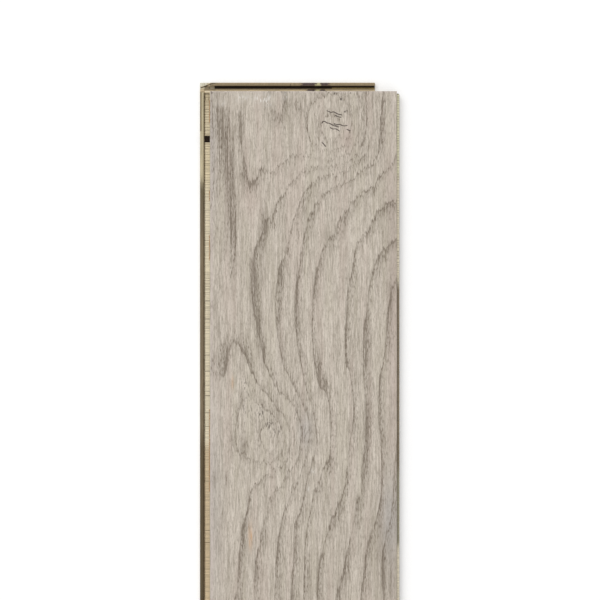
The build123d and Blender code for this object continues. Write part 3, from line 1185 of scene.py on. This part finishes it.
@dataclass
class OakFace:
    """The sawn oak layer: a bevelled slab whose face is fine enough to carry its brushed relief.

    Attributes:
        plan: Where the board's planes are.
        rings: The growth rings of its face.
        columns: Cells across the face.
        zones: Lengths from the lip end and the cells in each, finer where the knots are.
        ring_relief_mm: How far the soft early wood is brushed out beside each ring edge.
        brushed_mm: How fast that relief dies away from the edge.
        crack_relief_mm: How deep the knots' cracks are.
        crack_reach_mm: How far a crack is felt beside its middle.
        crack_limit_mm: The farthest that a crack's distance is kept for the finish.
        sharp_degrees: The least angle between two faces that stays a sharp edge.
    """

    plan: BoardPlan
    rings: RingField
    columns: int = 180
    zones: tuple[tuple[float, int], ...] = ((70, 95), (520, 245), (1900, 178))
    ring_relief_mm: float = 0.07
    brushed_mm: float = 3.0
    crack_relief_mm: float = 0.35
    crack_reach_mm: float = 1.0
    crack_limit_mm: float = 5.0
    sharp_degrees: float = 20.0

    def build(self) -> bpy.types.Object:
        """Model the layer, give it its figure and finish, and hang it on the board.

        Returns:
            The layer's object.
        """
        mesh = bpy.data.meshes.new("oak_face_layer")
        shape = bmesh.new()
        self._slab(shape)
        self._cut_cells(shape)
        bmesh.ops.recalc_face_normals(shape, faces=shape.faces)
        shape.to_mesh(mesh)
        shape.free()
        self._figure(mesh)
        mesh.polygons.foreach_set("use_smooth", [True] * len(mesh.polygons))
        mesh.set_sharp_from_angle(angle=math.radians(self.sharp_degrees))
        piece = bpy.data.objects.new("oak_face_layer", mesh)
        bpy.context.scene.collection.objects.link(piece)
        mesh.materials.append(BrushedOakFinish().material(self.plan))
        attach(piece, "root")
        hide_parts("oak_wear_layer")
        return piece

    def _slab(self, shape: bmesh.types.BMesh) -> None:
        """Make the bevelled slab: a box up to the bevels' feet, and its top inset and raised."""
        plan = self.plan
        shoulder = plan.face - plan.bevel_depth
        size = Vector((plan.right - plan.left, plan.end - plan.near, shoulder - plan.core_top))
        middle = Vector((plan.left + plan.right, plan.near + plan.end, plan.core_top + shoulder)) / 2
        corners = bmesh.ops.create_cube(shape, size=1.0)["verts"]
        bmesh.ops.scale(shape, vec=size, verts=corners)
        bmesh.ops.translate(shape, vec=middle, verts=corners)
        upward = 0.9
        top = [face for face in shape.faces if face.normal.z > upward]
        bmesh.ops.inset_region(shape, faces=top, thickness=plan.bevel_width, depth=plan.bevel_depth)

    def _cut_cells(self, shape: bmesh.types.BMesh) -> None:
        """Cut the slab's length into rows and its face into columns."""
        plan = self.plan
        same, wide, slack_mm = 0.01 * MM, 10 * MM, 0.1
        for reach, _ in self.zones[:-1]:
            geometry = [*shape.verts, *shape.edges, *shape.faces]
            cut = (0, plan.end - reach * MM, 0)
            bmesh.ops.bisect_plane(shape, geom=geometry, plane_co=cut, plane_no=(0, 1, 0))
        start = 0.0
        for reach, rows in self.zones:
            low, high = plan.end - (reach + slack_mm) * MM, plan.end - (start - slack_mm) * MM
            lengthwise = [
                edge for edge in shape.edges
                if abs(edge.verts[0].co.x - edge.verts[1].co.x) < same
                and abs(edge.verts[0].co.z - edge.verts[1].co.z) < same
                and all(low < corner.co.y < high for corner in edge.verts)
            ]
            bmesh.ops.subdivide_edges(shape, edges=lengthwise, cuts=rows - 1, use_grid_fill=True)
            start = reach
        shoulder = plan.face - plan.bevel_depth - same
        crosswise = [
            edge for edge in shape.edges
            if abs(edge.verts[0].co.y - edge.verts[1].co.y) < same
            and abs(edge.verts[0].co.x - edge.verts[1].co.x) > wide
            and all(corner.co.z > shoulder for corner in edge.verts)
        ]
        bmesh.ops.subdivide_edges(shape, edges=crosswise, cuts=self.columns - 1, use_grid_fill=True)

    def _figure(self, mesh: bpy.types.Mesh) -> None:
        """Store the figure on the mesh's points, and brush and crack its face."""
        points = np.empty(len(mesh.vertices) * 3, np.float32)
        mesh.vertices.foreach_get("co", points)
        points = points.reshape(-1, 3).astype(float)
        places = self.plan.places(points)
        height = self.rings.height(places)
        pitch, slope = self.rings.pitch_and_slope(places, height)
        offset = crack_offset(places, KNOT_CRACKS)
        cracks = np.exp(-(offset / self.crack_reach_mm) ** 2)
        pits = np.clip(spot_sum(places, PITS), 0, 1)
        most_band = 1.2
        figure = {
            "ring_height": height,
            "ring_pitch": pitch,
            "ring_slope": slope,
            "ring_strength": self._strength(places),
            "streak": np.clip(self._streaks(places), 0, 1),
            "band": np.clip(spot_sum(places, BANDS) * (1 - self._far_share(places)), 0, most_band),
            "crack": cracks,
            "crack_offset": np.clip(offset, -self.crack_limit_mm, self.crack_limit_mm),
            "pit": pits,
        }
        tints = {
            "knot": KNOT_SPOTS, "rosy": ROSY_SPOTS, "chalk": CHALK_SPOTS, "dusk": DUSK_SPOTS,
            "cool": COOL_SPOTS, "warm": WARM_SPOTS, "fleck": FLECKS,
        }
        figure |= {name: np.clip(spot_sum(places, spots), 0, 1) for name, spots in tints.items()}
        for name, values in figure.items():
            stored = mesh.attributes.new(name, "FLOAT", "POINT")
            stored.data.foreach_set("value", values.astype(np.float32))
        past = (height - np.floor(height)) * pitch
        brushed = self.ring_relief_mm * np.exp(-past / self.brushed_mm)
        opened = self.crack_relief_mm * np.clip(cracks ** 3 + pits, 0, 1)
        touching = 0.05 * MM
        on_face = points[:, 2] > self.plan.face - touching
        points[on_face, 2] -= (brushed + opened)[on_face] * MM
        mesh.vertices.foreach_set("co", points.astype(np.float32).ravel())
        mesh.update()

    def _far_share(self, places: np.ndarray) -> np.ndarray:
        """How far places are into the plain length beyond the listed figure, from 0 to 1."""
        start, stop = self.rings.handover_mm
        return np.clip((places[:, 1] - start) / (stop - start), 0, 1)

    def _strength(self, places: np.ndarray) -> np.ndarray:
        """How strongly the rings show: by the spots near the lip end, and by slow waves beyond them."""
        near = spot_sum(places, HEAVY_RINGS) - spot_sum(places, FADED_RINGS)
        across, along = places[:, 0], places[:, 1]
        middle, swing = 0.2, 0.5
        far = middle + swing * np.sin(along / 47 + across / 23) * np.sin(across / 11 - along / 83)
        share = self._far_share(places)
        return near * (1 - share) + far * share

    def _streaks(self, places: np.ndarray) -> np.ndarray:
        """Dark streaks along the grain: the spots near the lip end, and slender waves beyond them."""
        across, along = places[:, 0], places[:, 1]
        bend, gathering, rarity = 3, 1.4, 1.9
        waves = np.sin(across / 1.9 + bend * np.sin(along / 160)) + np.sin(across / 5.3 - along / 97)
        far = np.clip(waves + gathering * np.sin(along / 71 + across / 13) - rarity, 0, 1)
        share = self._far_share(places)
        return spot_sum(places, STREAKS) * (1 - share) + far * share


@dataclass
class CoreVeneers:
    """The plies under the oak, which keep their solids and get their own finishes.

    Attributes:
        plan: Where the board's planes are.
        cream: Clean pale veneer.
        tan: Veneer with some age.
        toffee: Veneer browned by the cutter.
        olive: Grey-brown veneer.
        umber: The darkest veneer.
        plum: A knot in veneer.
        sage: Pale filler between two knots.
        painted_deep_shade: Painted shade, near black, deep in the channels, in the open joint and in thin
            lines across the end lip.
        splinter_lean: How far across the chip's torn edge moves for each millimetre along.
        ladder_mm: Spacing of the checks in the cross plies.
    """

    plan: BoardPlan
    cream: Colour = srgb(206, 195, 168)
    tan: Colour = srgb(182, 165, 132)
    toffee: Colour = srgb(150, 133, 105)
    olive: Colour = srgb(112, 101, 80)
    umber: Colour = srgb(92, 78, 62)
    plum: Colour = srgb(88, 74, 72)
    sage: Colour = srgb(188, 180, 140)
    # Painted shade, near black, for the deep channels, the open joint and thin lines across the end lip
    painted_deep_shade: Colour = srgb(38, 27, 16)
    splinter_lean: float = -3.05
    ladder_mm: float = 2.8

    def _scar(self) -> Mark:
        """The dark torn edge of the chip at the lips' corner."""
        torn = srgb(54, 42, 30)
        return Mark((-95.6, -92.4), (-9.4, -4.4), torn, ragged=0.2, lean=self.splinter_lean)

    def _knotty_end(self, clear: Colour, reach: float) -> tuple[Station, ...]:
        """Colours across the end lip: clear veneer with two knots and pale filler between them.

        Args:
            clear: The colour of the clear veneer.
            reach: How far each knot reaches beside the filler.

        Returns:
            The stations from left to right.
        """
        left, right, blur = -100, 77, 0.8
        filler_start, filler_stop = 15.8, 21.6
        knot_start, knot_stop = filler_start - reach, filler_stop + 0.55 * reach
        return (
            Station(left, clear),
            Station(knot_start, clear), Station(knot_start + blur, self.plum),
            Station(filler_start, self.plum), Station(filler_start + blur, self.sage),
            Station(filler_stop, self.sage), Station(filler_stop + blur, self.plum),
            Station(knot_stop, self.plum), Station(knot_stop + blur, clear),
            Station(right, clear),
        )

    def _cross_veneer(self, name: str, side: tuple[Station, ...], end: tuple[Station, ...],
                      marks: tuple[Mark, ...]) -> VeneerFinish:
        """Make the finish of a ply whose grain runs across the board, with checks across its edges.

        Args:
            name: The material's name.
            side: Colours along the long sides.
            end: Colours across the lip end.
            marks: Stains, painted shade and painted light on it.

        Returns:
            The finish.
        """
        return VeneerFinish(name, Grain.ACROSS, self.cream, self.tan, side, end, marks, self.ladder_mm)

    def _ridge(self) -> VeneerFinish:
        """The layer that both locking ridges' crests are milled from."""
        straw, cord = srgb(186, 174, 144), srgb(198, 186, 156)
        walnut, bark, burnt = srgb(124, 110, 88), srgb(93, 81, 60), srgb(70, 56, 40)
        side = (
            Station(0, straw), Station(84, straw), Station(100, self.olive), Station(150, walnut),
            Station(340, walnut), Station(365, bark), Station(520, bark),
        )
        marks = (
            # Painted shade on the ridge's outer slope at the lip's left edge, near the lip end
            Mark((-102, -100.1), (-3, 40), srgb(104, 88, 62), 0.9, ragged=0.3),
            Mark((-99.0, -98.1), (-3, 92), cord, 0.8, ragged=0.2),
            # Painted shade on the ridge's outer slope at the lip's left edge, further along
            Mark((-101.8, -100.9), (92, 350), self.olive, 0.6, ragged=0.6),
            # Painted shade in the long locking channel beside the ridge, the whole length of the left side
            Mark((-97.9, -96.9), (1, 1890), srgb(98, 84, 60), 0.75),
            # Painted shade on the end ridge's inner wall beside the channel
            Mark((-97, 77), (-6.9, -6.3), srgb(112, 96, 72), 0.7),
            # Painted shade deep in the end channel
            Mark((-87, 77), (-6.3, -5.6), self.painted_deep_shade, 0.8, soft=0.2, ragged=0.1),
            Mark((-97, 77), (-9.7, -9.1), self.tan, 0.5),
            # Painted shade in a thin line across the end ridge
            Mark((-9.9, -9.2), (-8, -3), self.painted_deep_shade, 0.8, soft=0.15, ragged=0.1),
            Mark((-92.6, -90.6), (-8.6, -5.6), cord, 0.7, ragged=0.2, lean=self.splinter_lean),
            Mark((-89.2, -87.8), (-9.8, -5.6), burnt, 0.7, ragged=0.3, lean=self.splinter_lean),
            self._scar(),
        )
        end = self._knotty_end(self.toffee, 14.6)
        return VeneerFinish("ridge_veneer", Grain.ALONG, self.toffee, self.olive, side, end, marks)

    def _seat(self) -> VeneerFinish:
        """The layer of the locking seats, whose checks and smudges show in the photographed stretch, with
        painted shade and painted light.
        """
        burnt, rust = srgb(70, 56, 40), srgb(176, 122, 72)
        half_check = 0.4
        check_places = (213, 231.5, 268.5, 285, 310, 327, 341.5, 447.5, 460, 487)
        rust_stretches = ((8, 32), (100, 111), (146, 172), (324, 408))
        # Painted light: cream raised above the veneer's own colour, against the shade of the recess beside
        # the oak layer
        painted_light_cream, biscuit = srgb(238, 226, 198), srgb(216, 196, 162)
        # The paler stations are painted light against that recess shade
        side = (
            Station(0, srgb(200, 184, 152)), Station(20, srgb(222, 208, 178)),
            Station(90, srgb(230, 216, 184)), Station(110, painted_light_cream), Station(355, painted_light_cream),
            Station(367, biscuit), Station(520, biscuit),
        )
        marks = (
            # Painted shade in the long locking channel, the whole length of the left side
            Mark((-97.5, -96.4), (0.5, 1890), srgb(74, 60, 40), 0.85),
            Mark((-97.2, -91), (43.2, 44.6), self.toffee, 0.6),
            Mark((-96.9, -95.8), (1.2, 8.6), burnt, 0.7, ragged=0.8),
            Mark((-93.4, -92.3), (1.2, 8.6), burnt, 0.7, ragged=0.8),
            Mark((-96.6, -92.4), (0.8, 2.4), burnt, 0.9),
            Mark((-96.6, -92.4), (7.4, 8.4), burnt, 0.5, ragged=0.8),
            *(
                Mark((-96.6, -91), (place - half_check, place + half_check), self.umber, 0.7, soft=0.2)
                for place in check_places
            ),
            *(Mark((-92.5, -91), stretch, rust, 0.9, soft=0.2, ragged=0.5) for stretch in rust_stretches),
            # Painted shade along the seat's corner at the foot of the oak layer
            Mark((-91.9, -91), (1, 560), srgb(132, 118, 88), 0.45, soft=0.2, ragged=0.8),
            # Painted shade on the end channel's inner flank
            Mark((-97, 77), (-3.5, -2.4), srgb(114, 97, 72), 0.75, soft=0.3, ragged=0.2),
            # Painted shade deep in the end channel
            Mark((-87, 77), (-6.3, -5.5), self.painted_deep_shade, 1.0, soft=0.2, ragged=0.0),
            Mark((-98, -86), (-3.4, -1.6), srgb(112, 98, 76), 0.7, soft=0.5, ragged=0.5),
            self._scar(),
            # Painted light on the end seat beside the oak layer, against the shade of its recess
            Mark((-97, 77), (-1.3, 0.1), srgb(242, 228, 202), 0.8, ragged=0.3),
            # Painted shade in a thin line across the end seat
            Mark((13.4, 14.2), (-4.2, -0.4), self.painted_deep_shade, 0.8, soft=0.15, ragged=0.1),
        )
        # The end's clear veneer is raised as painted light against the same recess shade
        end = self._knotty_end(srgb(194, 176, 144), 7.5)
        return self._cross_veneer("seat_veneer", side, end, marks)

    def _backing(self) -> VeneerFinish:
        """The bottom layer, painted black as shade where it floors the end channel and the open joint."""
        marks = (
            # Painted shade on the end channel's floor
            Mark((-87, 77), (-6.3, -3.7), self.painted_deep_shade, 1.0, soft=0.35, ragged=0.0),
            # Lighter painted shade beside the channel, fading to tan at its right end
            Mark((-87, 33), (-3.9, -2.9), srgb(96, 80, 58), 0.8, soft=0.3, ragged=0.2),
            Mark((33, 77.5), (-4.8, -2.9), srgb(160, 139, 92), 0.85, soft=0.5, ragged=0.3),
            # Painted shade in the open joint
            Mark((-97.4, -90), (44, 52), self.painted_deep_shade, 1.0, soft=0.2, ragged=0.0),
            # Lighter painted shade at the channel's left end
            Mark((-97.4, -86.5), (-6.2, -2.9), srgb(104, 90, 74), 0.85, soft=0.6, ragged=0.7),
            Mark((-102, -90), (-9.6, -6.5), srgb(222, 222, 208), 0.7, soft=0.5, ragged=0.5),
            self._scar(),
        )
        return VeneerFinish("backing_veneer", Grain.ALONG, self.cream, self.tan, marks=marks)

    def _tongue(self) -> VeneerFinish:
        """The layer whose top is the tongue's, in the colours that its long side shows."""
        pale, grey, lichen = srgb(222, 213, 192), srgb(156, 150, 130), srgb(222, 218, 190)
        side = (
            Station(2, lichen), Station(82, lichen), Station(90, pale), Station(190, pale),
            Station(202, srgb(136, 124, 106)), Station(380, srgb(134, 122, 103)), Station(390, grey),
            Station(458, grey), Station(466, pale), Station(520, pale),
        )
        marks = (Mark((98, 102), (1.5, 3.2), self.umber, 0.8),)
        return self._cross_veneer("upper_cross_veneer", side, (), marks)

    def dress(self) -> None:
        """Give each ply its finish."""
        finishes = {
            "cross_ply_1": self._tongue(),
            "long_ply_2": VeneerFinish("upper_long_veneer", Grain.ALONG, self.tan, self.toffee),
            "cross_ply_3": self._cross_veneer("middle_cross_veneer", (), (), ()),
            "long_ply_4": self._ridge(),
            "cross_ply_5": self._seat(),
            "backing_ply": self._backing(),
        }
        for node, finish in finishes.items():
            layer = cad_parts[node]
            layer.data.materials.clear()
            layer.data.materials.append(finish.material(self.plan, node))
            log.info("dressed %s in %s", node, finish.name)


@dataclass
class Studio:
    """A pale floor, soft light and a camera straight above the lip end.

    Attributes:
        plan: Where the board's planes are.
        pixel_mm: What one pixel of the photograph covers at the oak face.
        image_pixels: The photograph's width and height.
        middle_across_mm: The picture's middle, right of the row's own middle.
        middle_along_mm: The picture's middle, from the lip end's joint plane.
        camera_height: The camera's height over the face.
        clip: The nearest and the farthest that the camera sees.
        floor_size: The floor's width and length.
        floor_gap: How far the floor lies under the board.
        floor_grey: The floor's colour.
        floor_lift: How much the floor glows to the camera.
        sky: How strongly the whole sky lights the board.
        key_strength: The key light's strength.
        key_spread: The key light's width in degrees, which softens its shadows.
        key_turn: How the key light is tipped about X and about Y, in degrees.
    """

    plan: BoardPlan
    pixel_mm: float = 1.016
    image_pixels: int = 600
    middle_across_mm: float = 0.4
    middle_along_mm: float = 212.3
    camera_height: float = 2.0
    clip: tuple[float, float] = (0.1, 20.0)
    floor_size: float = 14.0
    floor_gap: float = 0.05 * MM
    floor_grey: float = 0.84
    floor_lift: float = 0.22
    sky: float = 0.78
    key_strength: float = 0.85
    key_spread: float = 35.0
    key_turn: tuple[float, float] = (-28.0, -26.0)

    def build(self) -> None:
        """Lay the floor, hang the lights and place the camera."""
        self._floor()
        self._lights()
        self._camera()
        bpy.context.scene.view_settings.view_transform = "Standard"

    def _seen(self, canvas: NodeCanvas) -> Signal:
        """Be 1 for what the camera sees, straight or by reflection or through glass."""
        rays = canvas.nodes.new("ShaderNodeLightPath").outputs
        seen = Signal(canvas, rays["Is Camera Ray"])
        for kind in ("Is Glossy Ray", "Is Transmission Ray"):
            seen = seen.at_least(Signal(canvas, rays[kind]))
        return seen

    def _floor(self) -> None:
        """Lay a plain pale floor just under the board."""
        mesh = bpy.data.meshes.new("floor")
        shape = bmesh.new()
        bmesh.ops.create_grid(shape, x_segments=1, y_segments=1, size=self.floor_size / 2)
        shape.to_mesh(mesh)
        shape.free()
        material = new_material("pale_floor")
        canvas = NodeCanvas(material.node_tree)
        matt = canvas.nodes.new("ShaderNodeBsdfDiffuse")
        canvas.feed(matt.inputs["Color"], (self.floor_grey,) * 3)
        glow = canvas.nodes.new("ShaderNodeEmission")
        canvas.feed(glow.inputs["Strength"], self._seen(canvas) * self.floor_lift)
        both = canvas.nodes.new("ShaderNodeAddShader")
        canvas.feed(both.inputs[0], matt.outputs[0])
        canvas.feed(both.inputs[1], glow.outputs[0])
        output = canvas.nodes.new("ShaderNodeOutputMaterial")
        canvas.feed(output.inputs["Surface"], both.outputs[0])
        mesh.materials.append(material)
        floor = bpy.data.objects.new("floor", mesh)
        floor.location.z = -self.floor_gap
        bpy.context.scene.collection.objects.link(floor)

    def _lights(self) -> None:
        """Light the board evenly from the whole sky, with a soft key from the upper left."""
        world = bpy.data.worlds.new("studio")
        world.use_nodes = True
        bpy.context.scene.world = world
        canvas = NodeCanvas(world.node_tree)
        background = canvas.nodes.new("ShaderNodeBackground")
        canvas.feed(background.inputs["Color"], (1.0, 1.0, 1.0))
        canvas.feed(background.inputs["Strength"], self._seen(canvas) * (1 - self.sky) + self.sky)
        output = canvas.nodes.new("ShaderNodeOutputWorld")
        canvas.feed(output.inputs["Surface"], background.outputs[0])
        key = bpy.data.lights.new("key", "SUN")
        key.energy = self.key_strength
        key.angle = math.radians(self.key_spread)
        lamp = bpy.data.objects.new("key", key)
        about_x, about_y = self.key_turn
        lamp.rotation_euler = Euler((math.radians(about_x), math.radians(about_y), 0))
        bpy.context.scene.collection.objects.link(lamp)

    def _camera(self) -> None:
        """Look straight down on the lip end through a long lens."""
        lens_data = bpy.data.cameras.new("camera")
        view_width = self.image_pixels * self.pixel_mm * MM
        lens_data.lens = lens_data.sensor_width * self.camera_height / view_width
        lens_data.clip_start, lens_data.clip_end = self.clip
        camera = bpy.data.objects.new("camera", lens_data)
        camera.location = (
            self.middle_across_mm * MM,
            self.plan.end - self.middle_along_mm * MM,
            self.plan.face + self.camera_height,
        )
        bpy.context.scene.collection.objects.link(camera)
        bpy.context.scene.camera = camera


def main() -> None:
    """Dress the board, build its oak face and light it."""
    logging.basicConfig(level=logging.INFO, format="%(message)s")
    plan = BoardPlan.from_solids()
    CoreVeneers(plan).dress()
    face = OakFace(plan, RingField(RING_LINES)).build()
    log.info("built %s with %d faces", face.name, len(face.data.polygons))
    Studio(plan).build()


if __name__ == "__main__":
    main()
